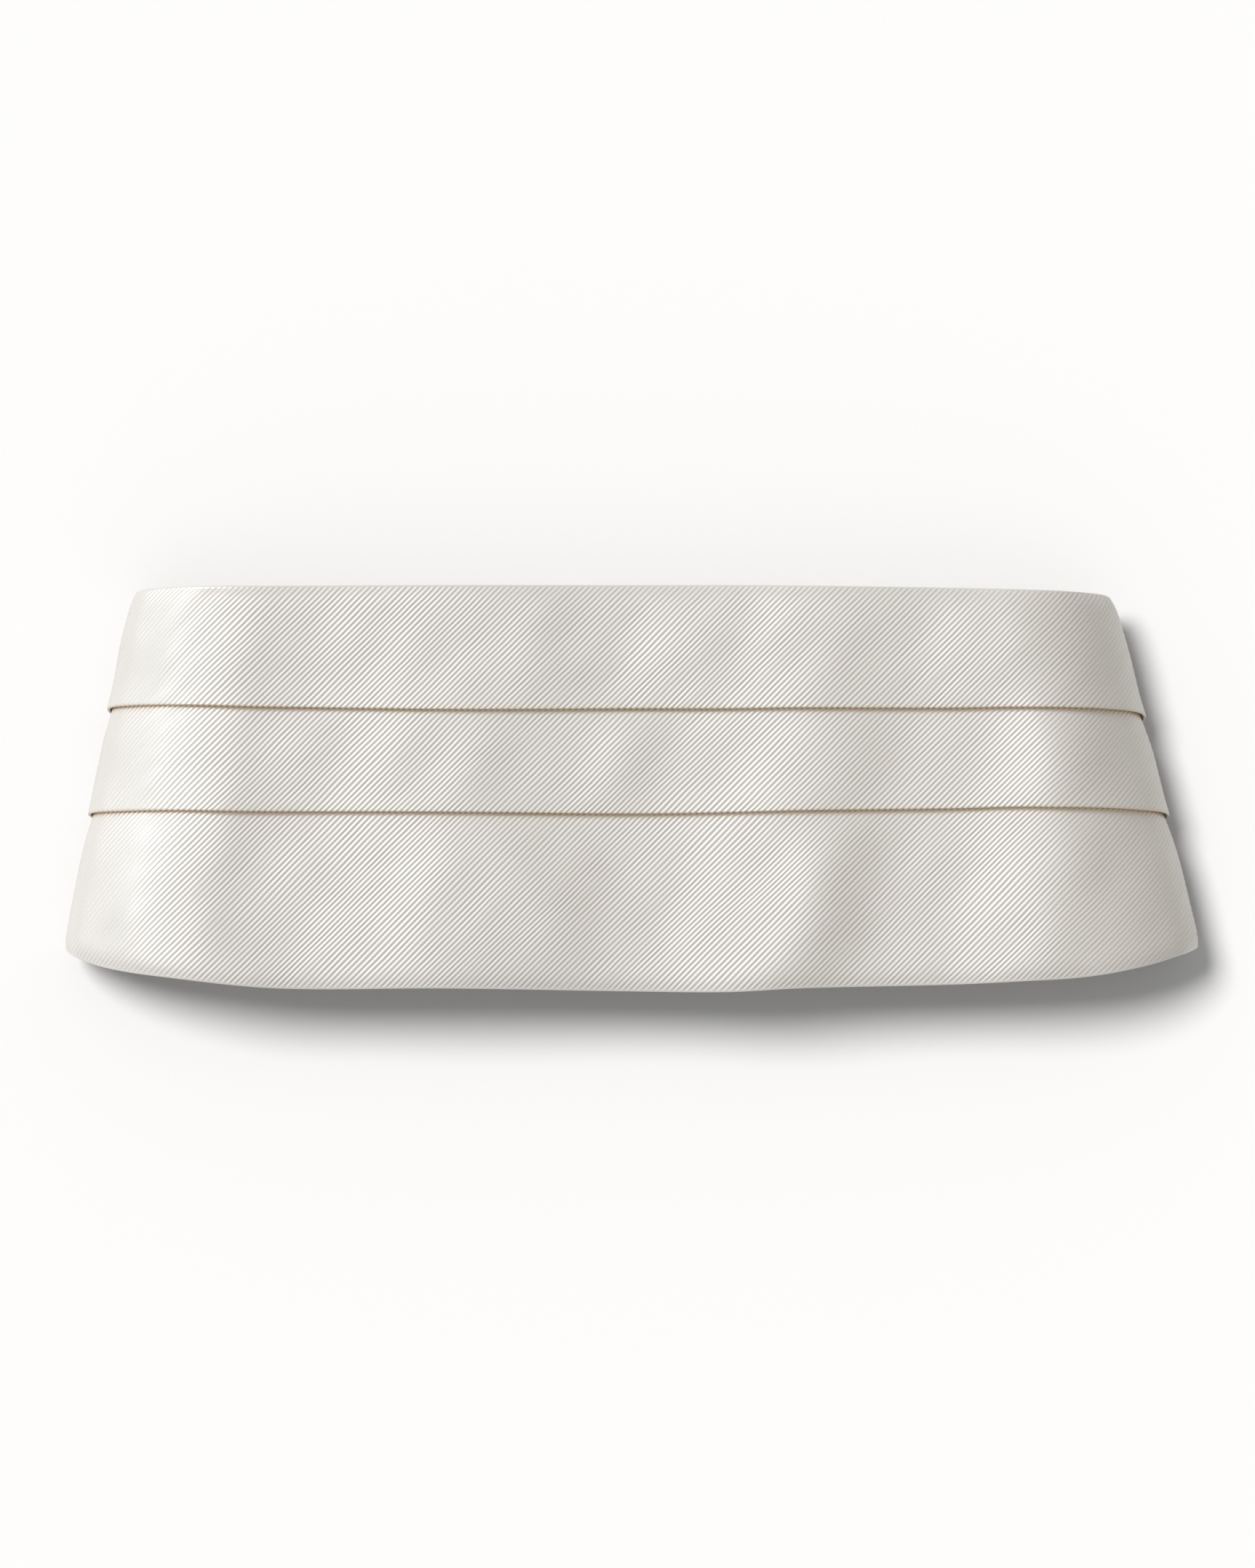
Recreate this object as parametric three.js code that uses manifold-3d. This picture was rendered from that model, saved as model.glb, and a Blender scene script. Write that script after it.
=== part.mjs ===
// A pleated silk cummerbund, closed into a loop and lying on its back, front upwards.
// Millimetres. X runs along the front to the right, Y from the bottom edge to the top edge,
// and Z up. The origin is under the middle of the whole, on the surface that it lies on.
import * as THREE from "three";
import { mergeVertices } from "three/addons/utils/BufferGeometryUtils.js";
import Module from "manifold-3d";

const wasm = await Module();
wasm.setup();

// The three bands of the front, from the top edge down, as they show at the centre front.
const UPPER_PLEAT_HEIGHT = 39.6;
const MIDDLE_PLEAT_HEIGHT = 33.0;
const LOWER_PANEL_HEIGHT = 57.4;

// The pleated body, laid out flat from one wing's end to the other's.
const BODY_LENGTH = 600;
const WING_END_HEIGHT = 38;

// The cloth of each band, and how the bands overlap.
const CLOTH_WALL = 1.5;
const CLEARANCE = 0.35;
const TUCK = 9;

// How the outer faces bulge from crease to fold: a power, low where the cloth is loose.
const CROWN_SOFT = 2;
const CROWN_PRESSED = 8;

// The soft roll of the top and bottom edges.
const ROLL_WIDTH = 6;
const ROLL_DEPTH = 1.1;

// The lying loop. A reach is measured from the centre front to a side's outermost line,
// square to that line, and its lean is how far that line spreads towards the bottom.
const LOOP_DEPTH = 37;
const RIGHT_REACH = 164.8;
const RIGHT_LEAN = 13.4;
const RIGHT_SHOULDER_RADIUS = 48;
const LEFT_REACH = 169.2;
const LEFT_LEAN = 10.3;
const LEFT_SHOULDER_RADIUS = 66;
const SHOULDER_TURN = 39;

// Soft swells of the front. A row's height is a share of this.
const SWELL_HEIGHT = 3.2;
const LINE_WANDER = 1;

// The back strap and its clasp.
const STRAP_LINE = -24;
const STRAP_WIDTH = 25;
const STRAP_WALL = 1.6;
const STRAP_SEAM = 14;
const STRAP_DROP = 16;
const STRAP_FOLD_BACK = 13;
const CLASP_LENGTH = 36;
const CLASP_WALL = 2.4;
const CLASP_RIM = 3.4;
const CLASP_SLOT = 4.6;
const CLASP_CORNER = 3;

// How finely the curved walls are cut into flat faces.
const FRONT_STEPS = 22;
const SHOULDER_STEPS = 4;
const TURN_STEPS = 9;
const WING_STEPS = 6;
const CORNER_STEPS = 4;
const FOLD_STEPS = 8;

// Where the long walls of a band are cut, as shares of its height from the lower fold up.
const OPEN_FACE_SHARES = [0.1, 0.35, 0.65, 0.87];
const TUCKED_FACE_SHARES = [0.1, 0.35, 0.65, 0.9, 1];

// How often the search for the place where a section meets a line is repeated.
const SEARCH_ROUNDS = 6;

const FRONT_HEIGHT = UPPER_PLEAT_HEIGHT + MIDDLE_PLEAT_HEIGHT + LOWER_PANEL_HEIGHT;
const HALF_LENGTH = BODY_LENGTH / 2;
const FOLD_STEP = CLOTH_WALL + CLEARANCE;

// The outline of the body, laid flat. along is a share of half its length. top and bottom go
// from 0, the height at the wing's end, to 1, the height at the centre front, and so does
// pleats for both pleat lines, which also wander by shares of LINE_WANDER.
const OUTLINE = [
  { along: -1.0, top: 0.0, pleats: 0.0, bottom: 0.0, upper: 0.0, lower: 0.0 },
  { along: -0.92, top: 0.17, pleats: 0.25, bottom: 0.14, upper: 0.3, lower: 0.1 },
  { along: -0.83, top: 0.41, pleats: 0.53, bottom: 0.31, upper: 0.7, lower: 0.2 },
  { along: -0.73, top: 0.74, pleats: 0.8, bottom: 0.5, upper: 1.0, lower: 0.3 },
  { along: -0.65, top: 0.945, pleats: 0.95, bottom: 0.654, upper: 1.2, lower: 0.4 },
  { along: -0.573, top: 0.99, pleats: 1.0, bottom: 0.824, upper: 1.3, lower: 0.4 },
  { along: -0.48, top: 0.997, pleats: 1.0, bottom: 0.913, upper: 1.1, lower: 0.4 },
  { along: -0.373, top: 0.996, pleats: 1.0, bottom: 0.978, upper: 0.5, lower: 0.1 },
  { along: -0.2, top: 1.0, pleats: 1.0, bottom: 0.976, upper: -0.2, lower: 0.0 },
  { along: 0.0, top: 1.0, pleats: 1.0, bottom: 0.998, upper: 0.0, lower: -0.6 },
  { along: 0.1, top: 1.0, pleats: 1.0, bottom: 1.002, upper: 0.0, lower: -0.2 },
  { along: 0.183, top: 0.997, pleats: 1.0, bottom: 0.975, upper: 0.3, lower: 0.5 },
  { along: 0.333, top: 0.983, pleats: 1.0, bottom: 0.953, upper: 0.2, lower: 1.0 },
  { along: 0.413, top: 0.972, pleats: 1.0, bottom: 0.928, upper: 0.5, lower: 1.6 },
  { along: 0.49, top: 0.96, pleats: 1.0, bottom: 0.893, upper: 0.1, lower: 1.3 },
  { along: 0.563, top: 0.952, pleats: 1.0, bottom: 0.798, upper: -0.5, lower: 0.7 },
  { along: 0.647, top: 0.9, pleats: 0.95, bottom: 0.622, upper: -0.8, lower: 0.4 },
  { along: 0.73, top: 0.72, pleats: 0.8, bottom: 0.47, upper: -0.6, lower: 0.2 },
  { along: 0.83, top: 0.41, pleats: 0.53, bottom: 0.29, upper: -0.3, lower: 0.1 },
  { along: 0.92, top: 0.17, pleats: 0.25, bottom: 0.14, upper: -0.1, lower: 0.0 },
  { along: 1.0, top: 0.0, pleats: 0.0, bottom: 0.0, upper: 0.0, lower: 0.0 },
];

// The swells, each a soft ridge that crosses the front from edge to edge. along and width are
// shares of half the body's length, lean is in degrees, and top and bottom are its height at
// the two edges as shares of SWELL_HEIGHT.
const SWELLS = [
  { along: -0.455, lean: -4, width: 0.07, top: 0.35, bottom: 0.8 },
  { along: -0.2, lean: 4, width: 0.12, top: 0.7, bottom: 1.0 },
  { along: 0.172, lean: 10, width: 0.085, top: 0.6, bottom: 1.1 },
  { along: 0.445, lean: 6, width: 0.065, top: 0.5, bottom: 0.7 },
];

// A smooth curve through one column of a table whose rows stand in order of along.
function curveThrough(rows, column) {
  const x = rows.map((row) => row.along);
  const y = rows.map((row) => row[column]);
  const last = rows.length - 1;
  const slope = x.map((_, i) => {
    const before = Math.max(i - 1, 0);
    const after = Math.min(i + 1, last);
    return (y[after] - y[before]) / (x[after] - x[before]);
  });
  return (at) => {
    let i = 0;
    while (i < last - 1 && at > x[i + 1]) i += 1;
    const span = x[i + 1] - x[i];
    const f = THREE.MathUtils.clamp((at - x[i]) / span, 0, 1);
    const rest = 1 - f;
    return (
      y[i] * rest * rest * (1 + 2 * f) +
      y[i + 1] * f * f * (3 - 2 * f) +
      span * f * rest * (slope[i] * rest - slope[i + 1] * f)
    );
  };
}

const topShare = curveThrough(OUTLINE, "top");
const pleatShare = curveThrough(OUTLINE, "pleats");
const bottomShare = curveThrough(OUTLINE, "bottom");
const upperWander = curveThrough(OUTLINE, "upper");
const lowerWander = curveThrough(OUTLINE, "lower");

const TOP = FRONT_HEIGHT / 2;
const UPPER_LINE = TOP - UPPER_PLEAT_HEIGHT;
const LOWER_LINE = UPPER_LINE - MIDDLE_PLEAT_HEIGHT;
const WING_END_TOP = WING_END_HEIGHT / 2;
const WING_END_PLEAT = WING_END_HEIGHT / 6;

// The four lines that bound the bands: how high each runs at a place along the body.
const lines = {
  top: (s) => WING_END_TOP + (TOP - WING_END_TOP) * topShare(s / HALF_LENGTH),
  upper: (s) =>
    WING_END_PLEAT +
    (UPPER_LINE - WING_END_PLEAT) * pleatShare(s / HALF_LENGTH) +
    LINE_WANDER * upperWander(s / HALF_LENGTH),
  lower: (s) =>
    -WING_END_PLEAT +
    (LOWER_LINE + WING_END_PLEAT) * pleatShare(s / HALF_LENGTH) +
    LINE_WANDER * lowerWander(s / HALF_LENGTH),
  bottom: (s) => -WING_END_TOP - (TOP - WING_END_TOP) * bottomShare(s / HALF_LENGTH),
};

// How far the swells lift the cloth at a place on the flat body. They die out at the sides.
function swell(s, t) {
  let lift = 0;
  for (const row of SWELLS) {
    const crest = row.along * HALF_LENGTH + t * Math.tan(THREE.MathUtils.degToRad(row.lean));
    const off = (s - crest) / (row.width * HALF_LENGTH);
    const up = THREE.MathUtils.clamp(0.5 + t / FRONT_HEIGHT, 0, 1);
    lift += (row.bottom + (row.top - row.bottom) * up) * Math.exp(-off * off);
  }
  return SWELL_HEIGHT * lift;
}

// One side of the lying loop: a wide shoulder arc that leaves the flat front, and a tighter
// arc that turns under to the flat back. Both are square to the side's leaning line.
function makeSide(reach, leanDegrees, shoulderRadius) {
  const lean = THREE.MathUtils.degToRad(leanDegrees);
  const shoulder = THREE.MathUtils.degToRad(SHOULDER_TURN);
  const drop = shoulderRadius * (1 - Math.cos(shoulder));
  const turnRadius = (LOOP_DEPTH - drop) / (1 + Math.cos(shoulder));
  const start =
    reach - shoulderRadius * Math.sin(shoulder) - turnRadius * (1 - Math.sin(shoulder));
  const turnStart = start + shoulderRadius * shoulder;
  const turnEnd = turnStart + turnRadius * (Math.PI - shoulder);
  const backStart = start + (shoulderRadius - turnRadius) * Math.sin(shoulder);

  // The cross-section at a distance u from the centre front, n out from the cloth's base.
  function profile(u, n) {
    let angle = 0;
    let across = u;
    let height = LOOP_DEPTH;
    if (u > turnEnd) {
      angle = Math.PI;
      across = backStart - (u - turnEnd);
      height = 0;
    } else if (u > turnStart) {
      angle = shoulder + (u - turnStart) / turnRadius;
      across = backStart + turnRadius * Math.sin(angle);
      height = turnRadius * (1 + Math.cos(angle));
    } else if (u > start) {
      angle = (u - start) / shoulderRadius;
      across = start + shoulderRadius * Math.sin(angle);
      height = LOOP_DEPTH - shoulderRadius * (1 - Math.cos(angle));
    }
    return { across: across + n * Math.sin(angle), height: height + n * Math.cos(angle) };
  }

  // The wing is cut on a curve, so that it ends level and on the strap's line.
  const bendTurn = 2 * lean;
  const bendEnd = HALF_LENGTH - STRAP_SEAM;
  const sag = (1 - Math.cos(bendTurn)) / bendTurn;
  const level = (backStart + turnEnd) * Math.sin(lean) - bendEnd * sag - STRAP_LINE;
  const bendStart = level / (Math.sin(bendTurn) - sag);
  const bendRadius = (bendEnd - bendStart) / bendTurn;

  function turned(s) {
    return THREE.MathUtils.clamp((s - bendStart) / bendRadius, 0, bendTurn);
  }

  return {
    lean,
    start,
    turnStart,
    turnEnd,
    // How far a section leans, so that it lies along the straight lines of the bent cloth.
    sectionLean: (s) =>
      s < start ? lean * (s / start) : THREE.MathUtils.clamp(lean - turned(s), 0, lean),
    // A place on the body, s along and t up, n out from its base, in space.
    place(s, t, n) {
      const angle = turned(s);
      const past = Math.max(s - bendEnd, 0);
      const straight = Math.min(s, bendStart);
      const a =
        straight + bendRadius * Math.sin(angle) + past * Math.cos(angle) - t * Math.sin(angle);
      const b =
        bendRadius * (1 - Math.cos(angle)) + past * Math.sin(angle) + t * Math.cos(angle);
      const u = a * Math.cos(lean) + b * Math.sin(lean);
      const v = a * Math.sin(lean) - b * Math.cos(lean);
      const { across, height } = profile(u, n);
      return new THREE.Vector3(
        across * Math.cos(lean) + v * Math.sin(lean),
        across * Math.sin(lean) - v * Math.cos(lean),
        height,
      );
    },
  };
}

const right = makeSide(RIGHT_REACH, RIGHT_LEAN, RIGHT_SHOULDER_RADIUS);
const left = makeSide(LEFT_REACH, LEFT_LEAN, LEFT_SHOULDER_RADIUS);

function placeOnLoop(s, t, n) {
  if (s >= 0) return right.place(s, t, n);
  const point = left.place(-s, t, n);
  point.x = -point.x;
  return point;
}

// Places from one to the other, both ends included.
function spread(from, to, steps) {
  return Array.from({ length: steps + 1 }, (_, i) => from + ((to - from) * i) / steps);
}

// The sections' distances from the centre front on one side, without the front's own.
function sideStations(side) {
  const onBody = (u) => u / Math.cos(side.lean);
  return [
    ...spread(onBody(side.start), onBody(side.turnStart), SHOULDER_STEPS).slice(1),
    ...spread(onBody(side.turnStart), onBody(side.turnEnd), TURN_STEPS).slice(1),
    ...spread(onBody(side.turnEnd), HALF_LENGTH, WING_STEPS).slice(1),
  ];
}

const leftStart = -left.start / Math.cos(left.lean);
const rightStart = right.start / Math.cos(right.lean);
const stations = [
  ...sideStations(left)
    .reverse()
    .map((s) => -s),
  ...spread(leftStart, rightStart, FRONT_STEPS),
  ...sideStations(right),
];

function sectionSlant(station) {
  const side = station < 0 ? left : right;
  return Math.sign(station) * Math.tan(side.sectionLean(Math.abs(station)));
}

// Where a section meets one of the body's lines.
function meetLine(station, line) {
  const slant = sectionSlant(station);
  let t = line(station);
  for (let round = 0; round < SEARCH_ROUNDS; round += 1) t = line(station - t * slant);
  return t;
}

// The bands. Each runs from its lower fold up to its upper line, and then on under the band
// above, as far as its tuck goes.
const BANDS = [
  { name: "upper_pleat", upper: lines.top, lower: lines.upper, height: UPPER_PLEAT_HEIGHT },
  { name: "middle_pleat", upper: lines.upper, lower: lines.lower, height: MIDDLE_PLEAT_HEIGHT },
  { name: "lower_panel", upper: lines.lower, lower: lines.bottom, height: LOWER_PANEL_HEIGHT },
];

// The outer face's height over the next band's, rising from the crease to the fold. Its curve
// is soft on the front, and steep where the cloth is pressed flat on the back.
function crown(share, station) {
  const side = station < 0 ? left : right;
  const pressed = THREE.MathUtils.smoothstep(Math.abs(station), side.turnStart, side.turnEnd);
  const rest = 1 - THREE.MathUtils.clamp(share, 0, 1);
  return FOLD_STEP * (1 - rest ** THREE.MathUtils.lerp(CROWN_SOFT, CROWN_PRESSED, pressed));
}

// The edges' soft roll, by the distance from the edge.
function roll(distance) {
  const rest = Math.max(1 - distance / ROLL_WIDTH, 0);
  return -ROLL_DEPTH * rest * rest;
}

// One section across a band, as places on the body: the lower fold's tip, the outer face up
// to the other tip, and the inner face back down.
function bandSection(index, station) {
  const band = BANDS[index];
  const above = BANDS[index - 1];
  const low = meetLine(station, band.lower);
  const line = meetLine(station, band.upper);
  const shareAt = (t) => (line - t) / (line - low);
  const outerAt = (t) => {
    let n = crown(shareAt(t), station);
    if (!above) n += roll(line - t);
    if (index === BANDS.length - 1) n += roll(t - low);
    return n;
  };
  const radius = CLOTH_WALL / 2;
  let high = line;
  let outer = outerAt;
  if (above) {
    const aboveTop = meetLine(station, above.upper);
    const aboveShare = (t) => (aboveTop - t) / (aboveTop - line);
    high = line + (TUCK * (aboveTop - line)) / above.height;
    outer = (t) => (t > line ? crown(aboveShare(t), station) - FOLD_STEP : outerAt(t));
  }
  const shares = above ? TUCKED_FACE_SHARES : OPEN_FACE_SHARES;
  const face = [low + radius, ...shares.map((f) => low + f * (line - low)), high - radius];
  const diagonal = radius * Math.SQRT1_2;
  const wall = [
    { t: low + radius - diagonal, base: low + radius, half: diagonal },
    ...face.map((t) => ({ t, base: t, half: radius })),
    { t: high - radius + diagonal, base: high - radius, half: diagonal },
  ];
  const at = (t, n) => {
    const s = station - t * sectionSlant(station);
    return placeOnLoop(s, t, n + swell(s, t));
  };
  const middle = (t) => outer(t) - radius;
  return [
    at(low, middle(low + radius)),
    ...wall.map((row) => at(row.t, middle(row.base) + row.half)),
    at(high, middle(high - radius)),
    ...wall.reverse().map((row) => at(row.t, middle(row.base) - row.half)),
  ];
}

// A closed solid through a row of rings that have as many points each. Opposite points of a
// ring are joined across it to close the two ends.
function loft(rings) {
  const count = rings[0].length;
  const half = count / 2;
  const triangles = [];
  const quad = (p, q, r, s) => triangles.push(p, q, r, p, r, s);
  for (let i = 0; i + 1 < rings.length; i += 1) {
    for (let j = 0; j < count; j += 1) {
      const next = (j + 1) % count;
      quad(rings[i][j], rings[i + 1][j], rings[i + 1][next], rings[i][next]);
    }
  }
  for (const [ring, forward] of [
    [rings[0], true],
    [rings[rings.length - 1], false],
  ]) {
    for (let j = 0; j < half; j += 1) {
      const [p, q] = [ring[j], ring[j + 1]];
      const [r, s] = [ring[count - j - 1], ring[(count - j) % count]];
      if (j > 0) triangles.push(...(forward ? [p, q, s] : [p, s, q]));
      if (j < half - 1) triangles.push(...(forward ? [q, r, s] : [q, s, r]));
    }
  }
  const positions = triangles.flatMap((point) => point.toArray());
  const geometry = new THREE.BufferGeometry();
  geometry.setAttribute("position", new THREE.Float32BufferAttribute(positions, 3));
  geometry.computeVertexNormals();
  return geometry;
}

const silk = new THREE.MeshStandardMaterial({ color: 0xdedbd5, roughness: 0.5 });
const webbing = new THREE.MeshStandardMaterial({ color: 0xd8d5ce, roughness: 0.85 });
const nickel = new THREE.MeshStandardMaterial({ color: 0xb9b7b2, roughness: 0.3, metalness: 1 });

function makeBand(index) {
  const rings = stations.map((station) => bandSection(index, station));
  const mesh = new THREE.Mesh(loft(rings), silk);
  mesh.name = BANDS[index].name;
  return mesh;
}

// The heights over the back's outer face that the strap and the clasp keep.
const FLOOR = -FOLD_STEP;
const WING_INSIDE = CLOTH_WALL + CLEARANCE + STRAP_WALL / 2;
const STRAP_REST = FLOOR + STRAP_WALL / 2;
const CLASP_BASE = FLOOR + STRAP_WALL + CLEARANCE;
const FOLD_RADIUS = (CLASP_WALL + STRAP_WALL) / 2 + CLEARANCE;

// A flat ribbon's outline, as wide as its wall, along a line of points.
function ribbon(points, wall) {
  const shifted = (side) =>
    points.map((point, i) => {
      const before = points[Math.max(i - 1, 0)];
      const after = points[Math.min(i + 1, points.length - 1)];
      const along = after.clone().sub(before).normalize();
      const inward = point.clone().sub(before).normalize();
      const mitre = Math.max(i > 0 ? along.dot(inward) : 1, 0.5);
      const square = new THREE.Vector2(-along.y, along.x);
      return point.clone().addScaledVector(square, (side * wall) / 2 / mitre);
    });
  return new THREE.Shape([...shifted(-1), ...shifted(1).reverse()]);
}

// A strap half, from its seam on the wing to the clasp's rim, round which it folds back.
// It is drawn in X and Z, with the clasp's middle at X 0, and given its width along Y.
function makeStrap(name, sign, wingEnd, claspAt) {
  const reach = Math.abs(wingEnd - claspAt);
  const foldAt = CLASP_LENGTH / 2 - CLASP_RIM;
  const foldHeight = STRAP_REST + FOLD_RADIUS;
  const lie = STRAP_REST + STRAP_WALL + CLEARANCE;
  const rimOut = CLASP_LENGTH / 2 + CLEARANCE;
  const line = [
    new THREE.Vector2(reach + STRAP_SEAM, WING_INSIDE),
    new THREE.Vector2(reach - STRAP_WALL, WING_INSIDE),
    new THREE.Vector2(reach - STRAP_DROP, STRAP_REST),
    new THREE.Vector2(rimOut, STRAP_REST),
    ...spread(-Math.PI / 2, -1.5 * Math.PI, FOLD_STEPS).map(
      (angle) =>
        new THREE.Vector2(
          foldAt + FOLD_RADIUS * Math.cos(angle),
          foldHeight + FOLD_RADIUS * Math.sin(angle),
        ),
    ),
    new THREE.Vector2(rimOut, foldHeight + FOLD_RADIUS),
    new THREE.Vector2(rimOut + STRAP_FOLD_BACK / 2, lie),
    new THREE.Vector2(rimOut + STRAP_FOLD_BACK, lie),
  ];
  const geometry = new THREE.ExtrudeGeometry(ribbon(line, STRAP_WALL), {
    depth: STRAP_WIDTH,
    bevelEnabled: false,
  });
  const mesh = new THREE.Mesh(geometry, webbing);
  mesh.name = name;
  mesh.rotation.set(Math.PI / 2, 0, sign < 0 ? Math.PI : 0, "ZYX");
  mesh.position.set(claspAt, STRAP_LINE + (sign * STRAP_WIDTH) / 2, 0);
  return mesh;
}

function roundedRectangle(width, height, radius) {
  const shape = new THREE.Shape();
  for (const [x, y, quarter] of [
    [1, 1, 0],
    [-1, 1, 1],
    [-1, -1, 2],
    [1, -1, 3],
  ]) {
    const from = (quarter * Math.PI) / 2;
    const [cx, cy] = [x * (width / 2 - radius), y * (height / 2 - radius)];
    shape.absarc(cx, cy, radius, from, from + Math.PI / 2, false);
  }
  return shape;
}

// A closed shape as a solid that can be cut, and a solid as a shape again.
function toSolid(geometry) {
  const bare = geometry.clone();
  bare.deleteAttribute("normal");
  bare.deleteAttribute("uv");
  const merged = mergeVertices(bare);
  const mesh = new wasm.Mesh({
    numProp: 3,
    vertProperties: merged.attributes.position.array,
    triVerts: Uint32Array.from(merged.index.array),
  });
  return new wasm.Manifold(mesh);
}

function toGeometry(solid) {
  const mesh = solid.getMesh();
  const geometry = new THREE.BufferGeometry();
  geometry.setAttribute("position", new THREE.BufferAttribute(mesh.vertProperties, 3));
  geometry.setIndex(new THREE.BufferAttribute(mesh.triVerts, 1));
  geometry.computeVertexNormals();
  return geometry;
}

// The clasp: one flat plate with a slot for each strap.
function makeClasp(at) {
  const slotWidth = STRAP_WIDTH + 2 * CLEARANCE;
  const claspWidth = slotWidth + 2 * CLASP_RIM;
  const plate = new THREE.ExtrudeGeometry(
    roundedRectangle(CLASP_LENGTH, claspWidth, CLASP_CORNER),
    { depth: CLASP_WALL, bevelEnabled: false, curveSegments: CORNER_STEPS },
  );
  let solid = toSolid(plate);
  for (const sign of [-1, 1]) {
    const slot = new THREE.BoxGeometry(CLASP_SLOT, slotWidth, 3 * CLASP_WALL);
    slot.translate(sign * (CLASP_LENGTH / 2 - CLASP_RIM - CLASP_SLOT / 2), 0, 0);
    solid = solid.subtract(toSolid(slot));
  }
  const mesh = new THREE.Mesh(toGeometry(solid), nickel);
  mesh.name = "clasp";
  mesh.position.set(at, STRAP_LINE, CLASP_BASE);
  return mesh;
}

const rightEnd = placeOnLoop(HALF_LENGTH, 0, 0).x;
const leftEnd = placeOnLoop(-HALF_LENGTH, 0, 0).x;
const claspAt = (rightEnd + leftEnd) / 2;

const cummerbund = new THREE.Group();
cummerbund.add(
  ...BANDS.map((_, index) => makeBand(index)),
  makeStrap("right_strap", 1, rightEnd, claspAt),
  makeStrap("left_strap", -1, leftEnd, claspAt),
  makeClasp(claspAt),
);

// The origin is set under the middle of the whole.
const bounds = new THREE.Box3().setFromObject(cummerbund, true);
const middle = bounds.getCenter(new THREE.Vector3());
cummerbund.position.set(-middle.x, -middle.y, -bounds.min.z);

export default cummerbund;
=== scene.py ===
"""A pleated ivory silk cummerbund that lies on its back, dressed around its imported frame."""

import logging
import math
from collections.abc import Callable, Sequence
from dataclasses import dataclass, field
from enum import Enum

import bmesh
import bpy
import numpy as np
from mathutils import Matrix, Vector


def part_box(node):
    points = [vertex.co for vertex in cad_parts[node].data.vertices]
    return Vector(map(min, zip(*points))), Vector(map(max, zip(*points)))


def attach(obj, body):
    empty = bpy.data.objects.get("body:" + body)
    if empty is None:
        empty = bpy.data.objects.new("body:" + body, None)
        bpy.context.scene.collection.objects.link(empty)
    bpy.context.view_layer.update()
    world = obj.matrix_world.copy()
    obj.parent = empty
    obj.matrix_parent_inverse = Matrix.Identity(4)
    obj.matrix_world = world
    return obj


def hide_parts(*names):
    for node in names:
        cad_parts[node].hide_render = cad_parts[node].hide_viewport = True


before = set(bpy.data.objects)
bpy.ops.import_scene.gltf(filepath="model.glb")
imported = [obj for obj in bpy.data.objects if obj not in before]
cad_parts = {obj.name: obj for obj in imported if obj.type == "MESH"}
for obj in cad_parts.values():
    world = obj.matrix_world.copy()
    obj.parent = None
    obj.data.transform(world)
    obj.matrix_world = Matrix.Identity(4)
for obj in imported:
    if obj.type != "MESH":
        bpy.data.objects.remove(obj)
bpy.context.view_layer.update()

log = logging.getLogger("cummerbund")

MM = 0.001
BODY = "root"
CLOTH_MAP = "cloth"

Curve = Callable[[np.ndarray], np.ndarray]


def curve_through(along: Sequence[float], values: Sequence[float]) -> Curve:
    """Lays a smooth curve through points.

    Args:
        along: The points' places, in rising order.
        values: The curve's value at each place.

    Returns:
        A function that gives the curve's values at an array of places.
    """
    x = np.array(along, float)
    y = np.array(values, float)
    last = len(x) - 1
    before = np.maximum(np.arange(len(x)) - 1, 0)
    after = np.minimum(np.arange(len(x)) + 1, last)
    slope = (y[after] - y[before]) / (x[after] - x[before])

    def curve(at: np.ndarray) -> np.ndarray:
        """Gives the curve's values at an array of places."""
        i = np.clip(np.searchsorted(x, at, side="right") - 1, 0, last - 1)
        span = x[i + 1] - x[i]
        f = np.clip((at - x[i]) / span, 0, 1)
        rest = 1 - f
        hold = y[i] * rest**2 * (1 + 2 * f) + y[i + 1] * f**2 * (3 - 2 * f)
        return hold + span * f * rest * (slope[i] * rest - slope[i + 1] * f)

    return curve


def smoothstep(low: float, high: float, at: np.ndarray) -> np.ndarray:
    """Rises softly from 0 at low to 1 at high."""
    f = np.clip((at - low) / (high - low), 0, 1)
    return f * f * (3 - 2 * f)


def soft_field(
    chance: np.random.Generator, x: np.ndarray, y: np.ndarray, reach: float, count: int
) -> np.ndarray:
    """Gives a soft random value at places, as a sum of waves.

    Args:
        chance: The source of chance.
        x: The places' first coordinates.
        y: The places' second coordinates.
        reach: The waves' usual length.
        count: How many waves there are.

    Returns:
        The values, which stray about 0.7 from zero.
    """
    value = np.zeros_like(x)
    for _ in range(count):
        angle, start = chance.uniform(0, math.tau, 2)
        waves = math.tau / (reach * chance.uniform(0.7, 1.4))
        across = math.cos(angle) * x + math.sin(angle) * y
        value += np.sin(waves * across + start) / math.sqrt(count)
    return value


@dataclass(frozen=True)
class OutlineRow:
    """One place along the flat body: the shares of its heights there."""

    along: float
    top: float
    pleats: float
    bottom: float
    upper: float
    lower: float


@dataclass(frozen=True)
class Swell:
    """A soft ridge that crosses the front: shares of half the length and of the swell height."""

    along: float
    lean: float
    width: float
    top: float
    bottom: float


@dataclass(frozen=True)
class Puff:
    """A soft rise or dip in the middle of one band, in millimetres of height."""

    along: float
    lean: float
    width: float
    rise: float


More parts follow.
